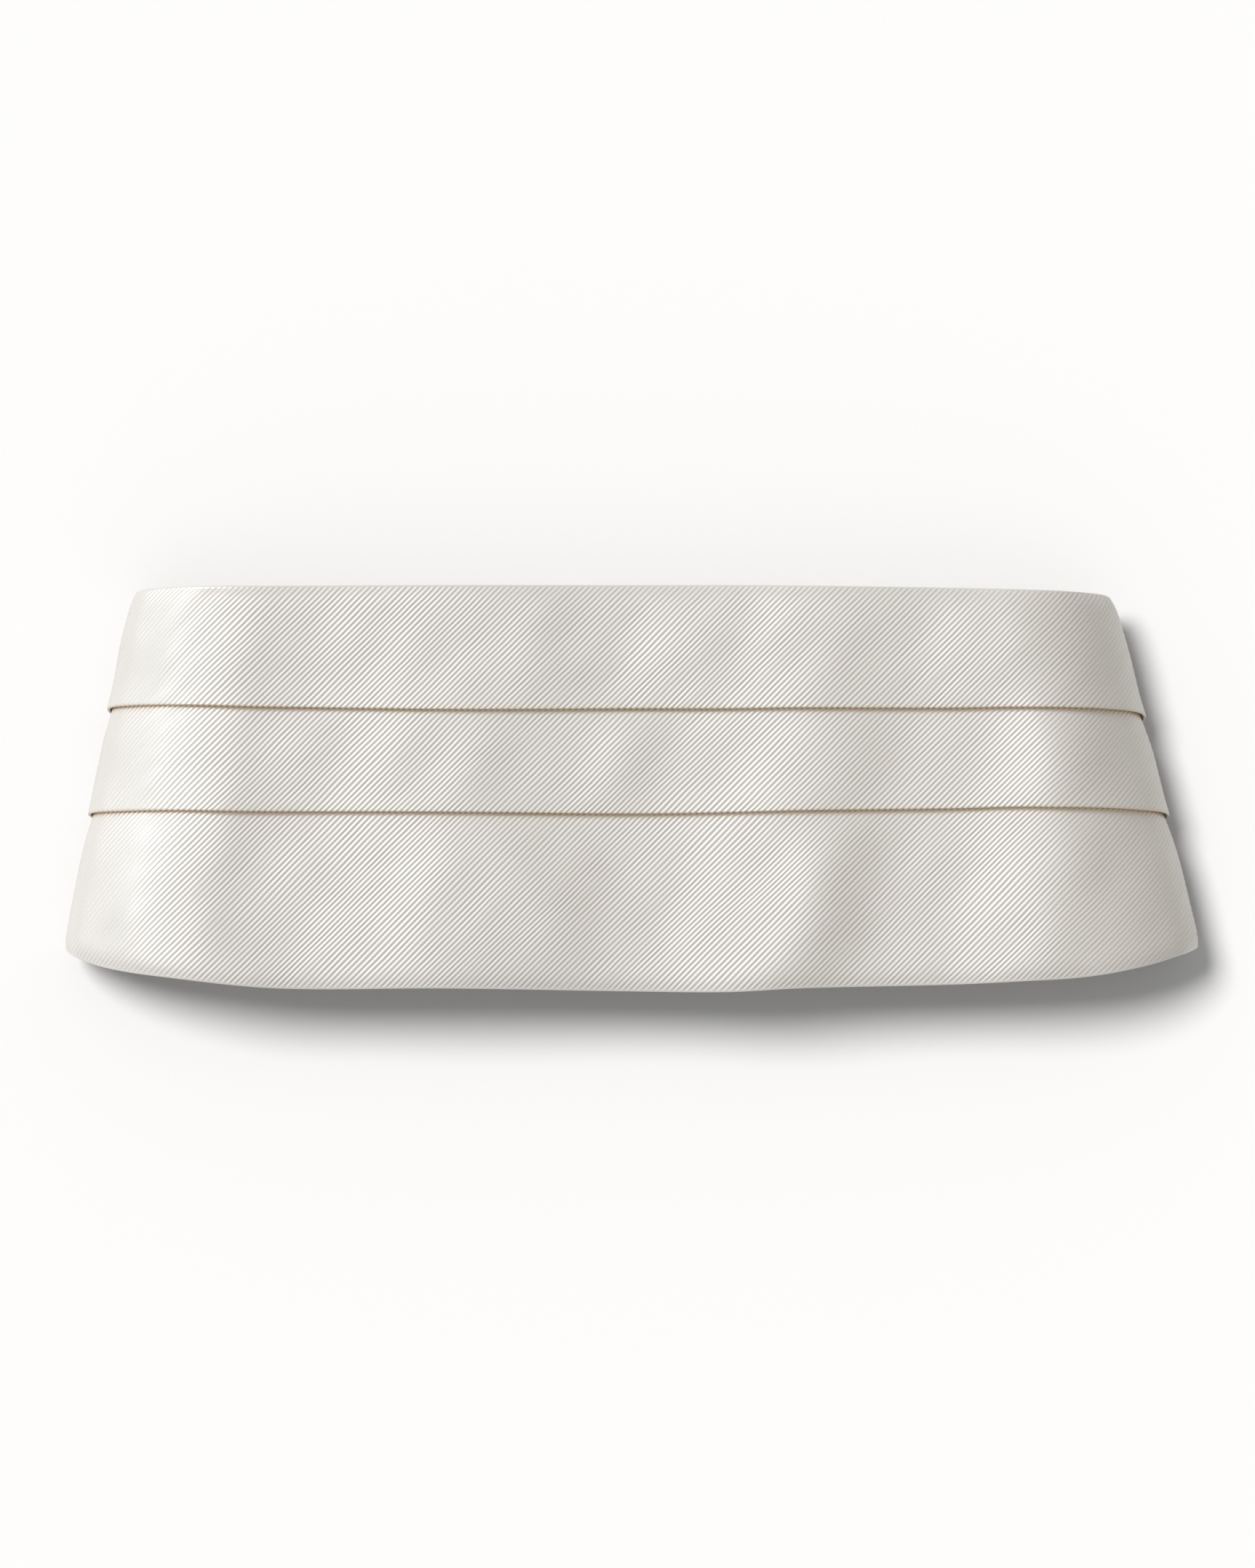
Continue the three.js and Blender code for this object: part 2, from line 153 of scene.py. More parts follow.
OUTLINE = (
    OutlineRow(-1.0, 0.0, 0.0, 0.0, 0.0, 0.0),
    OutlineRow(-0.92, 0.17, 0.25, 0.14, 0.3, 0.1),
    OutlineRow(-0.83, 0.41, 0.53, 0.31, 0.7, 0.2),
    OutlineRow(-0.73, 0.74, 0.8, 0.5, 1.0, 0.3),
    OutlineRow(-0.65, 0.945, 0.95, 0.654, 1.2, 0.4),
    OutlineRow(-0.573, 0.99, 1.0, 0.824, 1.3, 0.4),
    OutlineRow(-0.48, 0.997, 1.0, 0.913, 1.1, 0.4),
    OutlineRow(-0.373, 0.996, 1.0, 0.978, 0.5, 0.1),
    OutlineRow(-0.2, 1.0, 1.0, 0.976, -0.2, 0.0),
    OutlineRow(0.0, 1.0, 1.0, 0.998, 0.0, -0.6),
    OutlineRow(0.1, 1.0, 1.0, 1.002, 0.0, -0.2),
    OutlineRow(0.183, 0.997, 1.0, 0.975, 0.3, 0.5),
    OutlineRow(0.333, 0.983, 1.0, 0.953, 0.2, 1.0),
    OutlineRow(0.413, 0.972, 1.0, 0.928, 0.5, 1.6),
    OutlineRow(0.49, 0.96, 1.0, 0.893, 0.1, 1.3),
    OutlineRow(0.563, 0.952, 1.0, 0.798, -0.5, 0.7),
    OutlineRow(0.647, 0.9, 0.95, 0.622, -0.8, 0.4),
    OutlineRow(0.73, 0.72, 0.8, 0.47, -0.6, 0.2),
    OutlineRow(0.83, 0.41, 0.53, 0.29, -0.3, 0.1),
    OutlineRow(0.92, 0.17, 0.25, 0.14, -0.1, 0.0),
    OutlineRow(1.0, 0.0, 0.0, 0.0, 0.0, 0.0),
)

SWELLS = (
    Swell(along=-0.455, lean=-4, width=0.07, top=0.35, bottom=0.8),
    Swell(along=-0.2, lean=4, width=0.12, top=0.7, bottom=1.0),
    Swell(along=0.172, lean=10, width=0.085, top=0.6, bottom=1.1),
    Swell(along=0.445, lean=6, width=0.065, top=0.5, bottom=0.7),
)

UPPER_PUFFS = (
    Puff(along=-0.46, lean=-4, width=0.04, rise=0.4),
    Puff(along=-0.2, lean=4, width=0.12, rise=-0.9),
    Puff(along=-0.1, lean=6, width=0.045, rise=0.7),
    Puff(along=0.063, lean=6, width=0.05, rise=1.1),
    Puff(along=0.371, lean=6, width=0.05, rise=1.3),
    Puff(along=0.48, lean=6, width=0.04, rise=0.2),
)
MIDDLE_PUFFS = (
    Puff(along=-0.508, lean=-4, width=0.04, rise=0.5),
    Puff(along=-0.357, lean=0, width=0.045, rise=0.5),
    Puff(along=-0.014, lean=20, width=0.04, rise=1.0),
    Puff(along=0.172, lean=10, width=0.085, rise=-0.8),
    Puff(along=0.21, lean=10, width=0.04, rise=1.0),
    Puff(along=0.46, lean=6, width=0.04, rise=1.5),
    Puff(along=0.445, lean=6, width=0.065, rise=-0.6),
)
LOWER_PUFFS = (
    Puff(along=-0.515, lean=-4, width=0.05, rise=2.1),
    Puff(along=-0.455, lean=-4, width=0.07, rise=-1.1),
    Puff(along=-0.193, lean=0, width=0.05, rise=0.4),
    Puff(along=-0.1, lean=-10, width=0.085, rise=1.9),
    Puff(along=0.172, lean=10, width=0.085, rise=-0.8),
    Puff(along=0.2, lean=14, width=0.04, rise=2.4),
    Puff(along=0.46, lean=6, width=0.04, rise=0.9),
)


class Edge(Enum):
    """The four lines that bound the three bands."""

    TOP = "top"
    UPPER = "upper"
    LOWER = "lower"
    BOTTOM = "bottom"


@dataclass
class FlatBody:
    """The pleated body, laid out flat: s runs along it from the centre front, t up it."""

    upper_height: float = 39.6 * MM
    middle_height: float = 33.0 * MM
    lower_height: float = 57.4 * MM
    length: float = 600 * MM
    wing_end_height: float = 38 * MM
    line_wander: float = 1 * MM
    swell_height: float = 3.2 * MM
    edges: dict[Edge, Curve] = field(init=False)

    def __post_init__(self) -> None:
        """Lays the four edges through the outline's rows."""
        along = [row.along * self.half for row in OUTLINE]
        top = self.height / 2
        upper = top - self.upper_height
        lower = upper - self.middle_height
        end = self.wing_end_height / 2
        pleat_end = self.wing_end_height / 6
        heights = {
            Edge.TOP: [end + (top - end) * row.top for row in OUTLINE],
            Edge.UPPER: [
                pleat_end + (upper - pleat_end) * row.pleats + self.line_wander * row.upper
                for row in OUTLINE
            ],
            Edge.LOWER: [
                -pleat_end + (lower + pleat_end) * row.pleats + self.line_wander * row.lower
                for row in OUTLINE
            ],
            Edge.BOTTOM: [-end - (top - end) * row.bottom for row in OUTLINE],
        }
        self.edges = {edge: curve_through(along, rows) for edge, rows in heights.items()}

    @property
    def height(self) -> float:
        """The body's height at the centre front."""
        return self.upper_height + self.middle_height + self.lower_height

    @property
    def half(self) -> float:
        """Half of the body's length."""
        return self.length / 2

    def centre(self, edge: Edge) -> float:
        """Gives an edge's height at the centre front."""
        return float(self.edges[edge](np.zeros(1))[0])

    def swell(self, s: np.ndarray, t: np.ndarray) -> np.ndarray:
        """Gives how far the soft ridges lift the cloth at places on the flat body."""
        lift = np.zeros_like(s)
        up = np.clip(0.5 + t / self.height, 0, 1)
        for row in SWELLS:
            crest = row.along * self.half + t * math.tan(math.radians(row.lean))
            off = (s - crest) / (row.width * self.half)
            lift += (row.bottom + (row.top - row.bottom) * up) * np.exp(-off * off)
        return self.swell_height * lift


@dataclass
class LoopSide:
    """One side of the lying loop: a wide shoulder, a tight turn under, and a curved wing."""

    reach: float
    lean_degrees: float
    shoulder_radius: float
    half_length: float
    depth: float = 37 * MM
    shoulder_turn_degrees: float = 39
    strap_line: float = -24 * MM
    strap_seam: float = 14 * MM

    def __post_init__(self) -> None:
        """Works out the arcs' radii and starts from the driving sizes."""
        self.lean = math.radians(self.lean_degrees)
        self.shoulder = math.radians(self.shoulder_turn_degrees)
        sine = math.sin(self.shoulder)
        cosine = math.cos(self.shoulder)
        self.turn_radius = (self.depth - self.shoulder_radius * (1 - cosine)) / (1 + cosine)
        self.start = self.reach - self.shoulder_radius * sine - self.turn_radius * (1 - sine)
        self.turn_start = self.start + self.shoulder_radius * self.shoulder
        self.turn_end = self.turn_start + self.turn_radius * (math.pi - self.shoulder)
        self.back_start = self.start + (self.shoulder_radius - self.turn_radius) * sine
        self.bend_turn = 2 * self.lean
        self.bend_end = self.half_length - self.strap_seam
        sag = (1 - math.cos(self.bend_turn)) / self.bend_turn
        level = (self.back_start + self.turn_end) * math.sin(self.lean)
        level -= self.bend_end * sag + self.strap_line
        self.bend_start = level / (math.sin(self.bend_turn) - sag)
        self.bend_radius = (self.bend_end - self.bend_start) / self.bend_turn

    def profile(self, u: np.ndarray, n: np.ndarray) -> tuple[np.ndarray, np.ndarray]:
        """Gives the cross-section's places across and up, n out from the cloth's base."""
        on_shoulder = (u - self.start) / self.shoulder_radius
        on_turn = self.shoulder + (u - self.turn_start) / self.turn_radius
        regions = [u > self.turn_end, u > self.turn_start, u > self.start]
        angle = np.select(regions, [np.full_like(u, math.pi), on_turn, on_shoulder], 0.0)
        across = np.select(
            regions,
            [
                self.back_start - (u - self.turn_end),
                self.back_start + self.turn_radius * np.sin(on_turn),
                self.start + self.shoulder_radius * np.sin(on_shoulder),
            ],
            u,
        )
        up = np.select(
            regions,
            [
                np.zeros_like(u),
                self.turn_radius * (1 + np.cos(on_turn)),
                self.depth - self.shoulder_radius * (1 - np.cos(on_shoulder)),
            ],
            self.depth,
        )
        return across + n * np.sin(angle), up + n * np.cos(angle)

    def place(self, s: np.ndarray, t: np.ndarray, n: np.ndarray) -> np.ndarray:
        """Gives the points of places s along, t up and n out from the body's base."""
        turned = np.clip((s - self.bend_start) / self.bend_radius, 0, self.bend_turn)
        past = np.maximum(s - self.bend_end, 0)
        straight = np.minimum(s, self.bend_start)
        a = straight + (self.bend_radius - t) * np.sin(turned) + past * np.cos(turned)
        b = self.bend_radius * (1 - np.cos(turned)) + past * np.sin(turned) + t * np.cos(turned)
        u = a * math.cos(self.lean) + b * math.sin(self.lean)
        v = a * math.sin(self.lean) - b * math.cos(self.lean)
        across, up = self.profile(u, n)
        x = across * math.cos(self.lean) + v * math.sin(self.lean)
        y = across * math.sin(self.lean) - v * math.cos(self.lean)
        return np.stack([x, y, up], axis=-1)

    def pressed(self, s: np.ndarray) -> np.ndarray:
        """Gives how far the cloth is pressed flat: 0 on the front, 1 on the back."""
        return smoothstep(self.turn_start, self.turn_end, s)

    def drawn(self, s: np.ndarray) -> np.ndarray:
        """Gives how far the cloth is drawn over the shoulder: 0 in front of it, 1 at its end."""
        return smoothstep(self.start, self.turn_start, s)


@dataclass
class Loop:
    """The whole lying loop: both sides, and the shift into the frame."""

    body: FlatBody
    wall: float = 1.5 * MM
    clearance: float = 0.35 * MM
    silk_wall: float = 1.0 * MM
    shift: np.ndarray = field(default_factory=lambda: np.zeros(3))

    def __post_init__(self) -> None:
        """Makes the two sides."""
        half = self.body.half
        self.right = LoopSide(reach=164.8 * MM, lean_degrees=13.4, shoulder_radius=48 * MM, half_length=half)
        self.left = LoopSide(reach=169.2 * MM, lean_degrees=10.3, shoulder_radius=66 * MM, half_length=half)

    @property
    def fold_step(self) -> float:
        """The height from one band's face to the next in the frame."""
        return self.wall + self.clearance

    def fold_height(self, s: np.ndarray) -> np.ndarray:
        """Gives the height from one band of silk to the next: thin in front, full behind."""
        spare = self.wall - self.silk_wall
        return self.fold_step - spare * (1 - self.pressed(s))

    def pressed(self, s: np.ndarray) -> np.ndarray:
        """Gives how far the cloth is pressed flat at places along the body."""
        return np.where(s < 0, self.left.pressed(-s), self.right.pressed(s))

    def drawn(self, s: np.ndarray) -> np.ndarray:
        """Gives how far the cloth is drawn over its shoulders at places along the body."""
        return np.where(s < 0, self.left.drawn(-s), self.right.drawn(s))

    def place(self, s: np.ndarray, t: np.ndarray, n: np.ndarray) -> np.ndarray:
        """Gives points in the frame for places on the body."""
        points = np.where(
            (s < 0)[..., None],
            self.left.place(-s, t, n) * np.array([-1, 1, 1]),
            self.right.place(s, t, n),
        )
        return points + self.shift

    def settle(self, node: str, edges: tuple[Edge, Edge]) -> None:
        """Shifts the loop so that its sides and its back lie where the frame's node does."""
        low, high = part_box(node)
        s = np.linspace(-self.body.half, self.body.half, 2001)
        faces = [self.place(s, self.body.edges[e](s), np.full_like(s, self.fold_step)) for e in edges]
        points = np.concatenate(faces)
        middle = (points[:, 0].min() + points[:, 0].max()) / 2
        self.shift[0] = (low.x + high.x) / 2 - middle
        self.shift[2] = self.fold_step


class Outputs(Enum):
    """What the thread group puts out."""

    SHADE = "Shade"
    HEIGHT = "Height"


class ThreadGroup:
    """The fine threads of a woven cloth, shared by the silk and the webbing."""

    def __init__(self, name: str = "threads") -> None:
        """Builds the node group once."""
        self.tree = bpy.data.node_groups.new(name, "ShaderNodeTree")
        face = self.tree.interface
        face.new_socket("Vector", in_out="INPUT", socket_type="NodeSocketVector")
        for title, value in (("Threads", 2600.0), ("Run", 0.12), ("Cloudiness", 0.5)):
            socket = face.new_socket(title, in_out="INPUT", socket_type="NodeSocketFloat")
            socket.default_value = value
        for output in Outputs:
            face.new_socket(output.value, in_out="OUTPUT", socket_type="NodeSocketFloat")
        self.wire()

    def wire(self) -> None:
        """Joins the nodes: long thread noise for the height, and soft clouds for the shade."""
        nodes = self.tree.nodes
        links = self.tree.links
        entry = nodes.new("NodeGroupInput")
        leave = nodes.new("NodeGroupOutput")
        split = nodes.new("ShaderNodeSeparateXYZ")
        join = nodes.new("ShaderNodeCombineXYZ")
        stretch = nodes.new("ShaderNodeMath")
        stretch.operation = "MULTIPLY"
        thread = nodes.new("ShaderNodeTexNoise")
        thread.inputs["Detail"].default_value = 2.0
        cloud = nodes.new("ShaderNodeTexNoise")
        cloud.inputs["Scale"].default_value = 60.0
        cloud.inputs["Detail"].default_value = 3.0
        blend = nodes.new("ShaderNodeMix")
        links.new(entry.outputs["Vector"], split.inputs[0])
        links.new(split.outputs["X"], stretch.inputs[0])
        links.new(entry.outputs["Run"], stretch.inputs[1])
        links.new(stretch.outputs[0], join.inputs["X"])
        links.new(split.outputs["Y"], join.inputs["Y"])
        links.new(join.outputs[0], thread.inputs["Vector"])
        links.new(entry.outputs["Threads"], thread.inputs["Scale"])
        links.new(entry.outputs["Vector"], cloud.inputs["Vector"])
        links.new(entry.outputs["Cloudiness"], blend.inputs["Factor"])
        links.new(thread.outputs["Fac"], blend.inputs["A"])
        links.new(cloud.outputs["Fac"], blend.inputs["B"])
        links.new(blend.outputs["Result"], leave.inputs[Outputs.SHADE.value])
        links.new(thread.outputs["Fac"], leave.inputs[Outputs.HEIGHT.value])

    def use(self, tree: bpy.types.NodeTree) -> bpy.types.Node:
        """Places the group in a material's nodes."""
        node = tree.nodes.new("ShaderNodeGroup")
        node.node_tree = self.tree
        return node


def mix_colours(
    tree: bpy.types.NodeTree,
    mask: bpy.types.NodeSocket,
    first: bpy.types.NodeSocket | tuple[float, float, float],
    second: bpy.types.NodeSocket | tuple[float, float, float],
) -> bpy.types.NodeSocket:
    """Mixes two colours by a mask.

    Args:
        tree: The material's nodes.
        mask: 0 where the first colour shows, 1 where the second does.
        first: A colour, or the socket that gives it.
        second: A colour, or the socket that gives it.

    Returns:
        The socket of the mixed colour.
    """
    node = tree.nodes.new("ShaderNodeMix")
    node.data_type = "RGBA"
    tree.links.new(mask, node.inputs["Factor"])
    for slot, colour in ((node.inputs[6], first), (node.inputs[7], second)):
        if isinstance(colour, tuple):
            slot.default_value = (*colour, 1.0)
        else:
            tree.links.new(colour, slot)
    return node.outputs[2]


def ranged(
    tree: bpy.types.NodeTree, source: bpy.types.NodeSocket, low: float, high: float
) -> bpy.types.NodeSocket:
    """Carries a value from 0..1 into low..high."""
    node = tree.nodes.new("ShaderNodeMapRange")
    node.inputs["To Min"].default_value = low
    node.inputs["To Max"].default_value = high
    tree.links.new(source, node.inputs["Value"])
    return node.outputs["Result"]


def hold_back(
    tree: bpy.types.NodeTree,
    colour: bpy.types.NodeSocket | tuple[float, float, float],
    share: float,
) -> bpy.types.NodeSocket:
    """Takes a share off the light that a colour throws on the things beside it."""
    ray = tree.nodes.new("ShaderNodeLightPath")
    bounced = ranged(tree, ray.outputs["Is Diffuse Ray"], 0.0, share)
    return mix_colours(tree, bounced, colour, (0.0, 0.0, 0.0))


def attribute(tree: bpy.types.NodeTree, name: str) -> bpy.types.NodeSocket:
    """Reads one of a piece's own masks."""
    node = tree.nodes.new("ShaderNodeAttribute")
    node.attribute_name = name
    return node.outputs["Fac"]


def new_material(name: str) -> tuple[bpy.types.Material, bpy.types.NodeTree, bpy.types.Node]:
    """Makes a material, and gives its nodes and its shader with it."""
    material = bpy.data.materials.new(name)
    material.use_nodes = True
    tree = material.node_tree
    return material, tree, tree.nodes["Principled BSDF"]


def cloth_place(tree: bpy.types.NodeTree) -> bpy.types.NodeSocket:
    """Reads each point's place on the flat cloth."""
    node = tree.nodes.new("ShaderNodeUVMap")
    node.uv_map = CLOTH_MAP
    return node.outputs["UV"]


def add_bump(
    shader: bpy.types.Node, height: bpy.types.NodeSocket, strength: float, depth: float
) -> None:
    """Raises a shader's surface by a height, in the material that it is in."""
    tree = shader.id_data
    node = tree.nodes.new("ShaderNodeBump")
    node.inputs["Strength"].default_value = strength
    node.inputs["Distance"].default_value = depth
    tree.links.new(height, node.inputs["Height"])
    tree.links.new(node.outputs["Normal"], shader.inputs["Normal"])


@dataclass(frozen=True)
class SilkFinish:
    """Ivory silk: pale ridges, painted shade in the furrows between them, and a painted warm shade in the
    creases and on the folds' lips.

    The light that it throws back on the pale floor is held back by a share, so that the floor
    beside it doesn't glow.
    """

    threads: ThreadGroup
    name: str = "ivory_silk"
    ridge: tuple[float, float, float] = (0.765, 0.73, 0.655)
    # Painted shade: the furrows between the ribs are coloured darker than the ridges.
    shaded_furrow: tuple[float, float, float] = (0.65, 0.615, 0.55)
    # Painted warm shade for the creases under the folds and for the folds' lips.
    painted_crease_shade: tuple[float, float, float] = (0.72, 0.54, 0.33)
    cloud: tuple[float, float, float] = (0.745, 0.712, 0.638)
    ridge_roughness: tuple[float, float] = (0.25, 0.33)
    furrow_roughness: tuple[float, float] = (0.65, 0.80)
    gloss: float = 0.9
    refraction: float = 2.0
    sheen: float = 0.05
    sheen_roughness: float = 0.4
    held_back: float = 0.7
    weave_degrees: float = 45.0
    thread_scale: float = 3200.0
    thread_run: float = 0.15
    cloudiness: float = 0.85
    most_cloud: float = 0.5
    bump: float = 0.25
    bump_depth: float = 0.05 * MM

    def material(self) -> bpy.types.Material:
        """Builds the material."""
        material, tree, shader = new_material(self.name)
        place = cloth_place(tree)
        turn = tree.nodes.new("ShaderNodeMapping")
        turn.inputs["Rotation"].default_value = (0, 0, math.radians(self.weave_degrees))
        tree.links.new(place, turn.inputs["Vector"])
        weave = self.threads.use(tree)
        tree.links.new(turn.outputs["Vector"], weave.inputs["Vector"])
        weave.inputs["Threads"].default_value = self.thread_scale
        weave.inputs["Run"].default_value = self.thread_run
        weave.inputs["Cloudiness"].default_value = self.cloudiness
        shade = weave.outputs[Outputs.SHADE.value]
        rib = attribute(tree, "rib")
        # Painted shade: the rib mask darkens the furrows between the ribs.
        furrow_shaded = mix_colours(tree, rib, self.shaded_furrow, self.ridge)
        clouded = mix_colours(tree, ranged(tree, shade, 0.0, self.most_cloud), furrow_shaded, self.cloud)
        # Painted warm shade: the crease under each fold and the fold's lip are tinted darker brown.
        crease_shaded = mix_colours(tree, attribute(tree, "painted_crease_shade"), clouded, self.painted_crease_shade)
        tree.links.new(hold_back(tree, crease_shaded, self.held_back), shader.inputs["Base Color"])
        rough = tree.nodes.new("ShaderNodeMix")
        tree.links.new(rib, rough.inputs["Factor"])
        tree.links.new(ranged(tree, shade, *self.furrow_roughness), rough.inputs["A"])
        tree.links.new(ranged(tree, shade, *self.ridge_roughness), rough.inputs["B"])
        tree.links.new(rough.outputs["Result"], shader.inputs["Roughness"])
        add_bump(shader, weave.outputs[Outputs.HEIGHT.value], self.bump, self.bump_depth)
        shader.inputs["Sheen Weight"].default_value = self.sheen
        shader.inputs["Sheen Roughness"].default_value = self.sheen_roughness
        shader.inputs["IOR"].default_value = self.refraction
        shader.inputs["Specular IOR Level"].default_value = self.gloss
        return material


@dataclass(frozen=True)
class WebbingFinish:
    """Ivory woven strap, with fine ridges across it."""

    threads: ThreadGroup
    name: str = "ivory_webbing"
    pale: tuple[float, float, float] = (0.74, 0.72, 0.68)
    dark: tuple[float, float, float] = (0.55, 0.53, 0.49)
    ridges: float = 900.0
    distortion: float = 0.4
    cloudiness: float = 0.3
    most_wear: float = 0.6
    bump: float = 0.5
    bump_depth: float = 0.12 * MM
    roughness: float = 0.8
    sheen: float = 0.2

    def material(self) -> bpy.types.Material:
        """Builds the material."""
        material, tree, shader = new_material(self.name)
        place = cloth_place(tree)
        wave = tree.nodes.new("ShaderNodeTexWave")
        wave.inputs["Scale"].default_value = self.ridges / math.tau * 2
        wave.inputs["Distortion"].default_value = self.distortion
        tree.links.new(place, wave.inputs["Vector"])
        weave = self.threads.use(tree)
        tree.links.new(place, weave.inputs["Vector"])
        weave.inputs["Cloudiness"].default_value = self.cloudiness
        striped = mix_colours(tree, wave.outputs["Fac"], self.dark, self.pale)
        mask = ranged(tree, weave.outputs[Outputs.SHADE.value], 0.0, self.most_wear)
        worn = mix_colours(tree, mask, striped, self.dark)
        tree.links.new(worn, shader.inputs["Base Color"])
        add_bump(shader, wave.outputs["Fac"], self.bump, self.bump_depth)
        shader.inputs["Roughness"].default_value = self.roughness
        shader.inputs["Sheen Weight"].default_value = self.sheen
        return material


@dataclass(frozen=True)
class NickelFinish:
    """Satin nickel with a faint brushed grain."""

    name: str = "satin_nickel"
    colour: tuple[float, float, float] = (0.68, 0.66, 0.63)
    worn: tuple[float, float, float] = (0.58, 0.565, 0.54)
    grain_stretch: tuple[float, float, float] = (1.0, 12.0, 12.0)
    grain_scale: float = 900.0
    grain_detail: float = 4.0
    roughness: tuple[float, float] = (0.26, 0.42)
    bump: float = 0.15
    bump_depth: float = 0.03 * MM

    def material(self) -> bpy.types.Material:
        """Builds the material."""
        material, tree, shader = new_material(self.name)
        place = tree.nodes.new("ShaderNodeTexCoord")
        stretch = tree.nodes.new("ShaderNodeMapping")
        stretch.inputs["Scale"].default_value = self.grain_stretch
        grain = tree.nodes.new("ShaderNodeTexNoise")
        grain.inputs["Scale"].default_value = self.grain_scale
        grain.inputs["Detail"].default_value = self.grain_detail
        tree.links.new(place.outputs["Object"], stretch.inputs["Vector"])
        tree.links.new(stretch.outputs["Vector"], grain.inputs["Vector"])
        tinted = mix_colours(tree, grain.outputs["Fac"], self.worn, self.colour)
        tree.links.new(tinted, shader.inputs["Base Color"])
        rough = ranged(tree, grain.outputs["Fac"], *self.roughness)
        tree.links.new(rough, shader.inputs["Roughness"])
        add_bump(shader, grain.outputs["Fac"], self.bump, self.bump_depth)
        shader.inputs["Metallic"].default_value = 1.0
        return material


def finish_mesh(bm: bmesh.types.BMesh, name: str) -> bpy.types.Mesh:
    """Turns a worked shape into a mesh and lets the shape go."""
    mesh = bpy.data.meshes.new(name)
    bm.to_mesh(mesh)
    bm.free()
    return mesh


def add_piece(
    mesh: bpy.types.Mesh, material: bpy.types.Material, nodes: Sequence[str]
) -> bpy.types.Object:
    """Puts a finished mesh in the scene as a piece of the object.

    Args:
        mesh: The mesh, in place in the frame. Its name becomes the piece's.
        material: Its material.
        nodes: The frame's nodes that it stands for.

    Returns:
        The piece.
    """
    mesh.materials.append(material)
    piece = bpy.data.objects.new(mesh.name, mesh)
    bpy.context.scene.collection.objects.link(piece)
    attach(piece, BODY)
    if nodes:
        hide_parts(*nodes)
    return piece


def map_cloth(mesh: bpy.types.Mesh, flat: np.ndarray) -> None:
    """Gives a mesh the cloth map: each vertex's place on the flat cloth, in metres."""
    corners = np.zeros(len(mesh.loops), np.int32)
    mesh.loops.foreach_get("vertex_index", corners)
    layer = mesh.uv_layers.new(name=CLOTH_MAP)
    layer.uv.foreach_set("vector", flat[corners, :2].astype(np.float32).ravel())


def set_mask(mesh: bpy.types.Mesh, name: str, values: np.ndarray) -> None:
    """Stores a mask with one value for each vertex."""
    layer = mesh.attributes.get(name) or mesh.attributes.new(name, "FLOAT", "POINT")
    layer.data.foreach_set("value", values.astype(np.float32))


def places(mesh: bpy.types.Mesh) -> np.ndarray:
    """Reads a mesh's vertices."""
    flat = np.zeros(len(mesh.vertices) * 3, np.float32)
    mesh.vertices.foreach_get("co", flat)
    return flat.reshape(-1, 3).astype(float)


def graded_shares(length: float, fine: float, coarse: float) -> list[float]:
    """Spaces rows over a length, close at both ends and wide between.

    Args:
        length: The length to cover.
        fine: The first and last step.
        coarse: The widest step.

    Returns:
        The rows' places as shares of the length, from 0 to 1.
    """
    growth = 1.6
    steps: list[float] = []
    step = fine
    while 2 * (sum(steps) + step) + coarse < length and step < coarse:
        steps.append(step)
        step *= growth
    middle = length - 2 * sum(steps)
    count = max(1, round(middle / coarse))
    row = steps + [middle / count] * count + steps[::-1]
    return [float(x) / length for x in np.concatenate([[0.0], np.cumsum(row)])]


class Face(Enum):
    """Which stretch of a band's section a row of vertices lies on."""

    OUTER = "outer"
    TUCK = "tuck"
    HIGH_EDGE = "high_edge"
    INNER_TUCK = "inner_tuck"
    INNER = "inner"
    LOW_EDGE = "low_edge"


@dataclass(frozen=True)
class SectionRow:
    """One row of vertices round a band's section: a share of its face, or an edge's angle."""

    face: Face
    at: float


@dataclass(frozen=True)
class Stray:
    """One size of the ribs' straying: how far they go, over what reach, in how many waves."""

    far: float
    reach: float
    waves: int


WANDER = (
    Stray(far=0.45 * MM, reach=70 * MM, waves=5),
    Stray(far=0.12 * MM, reach=22 * MM, waves=7),
    Stray(far=0.05 * MM, reach=7 * MM, waves=9),
)
TUCK_SHARES = (0.15, 0.55, 1.0)


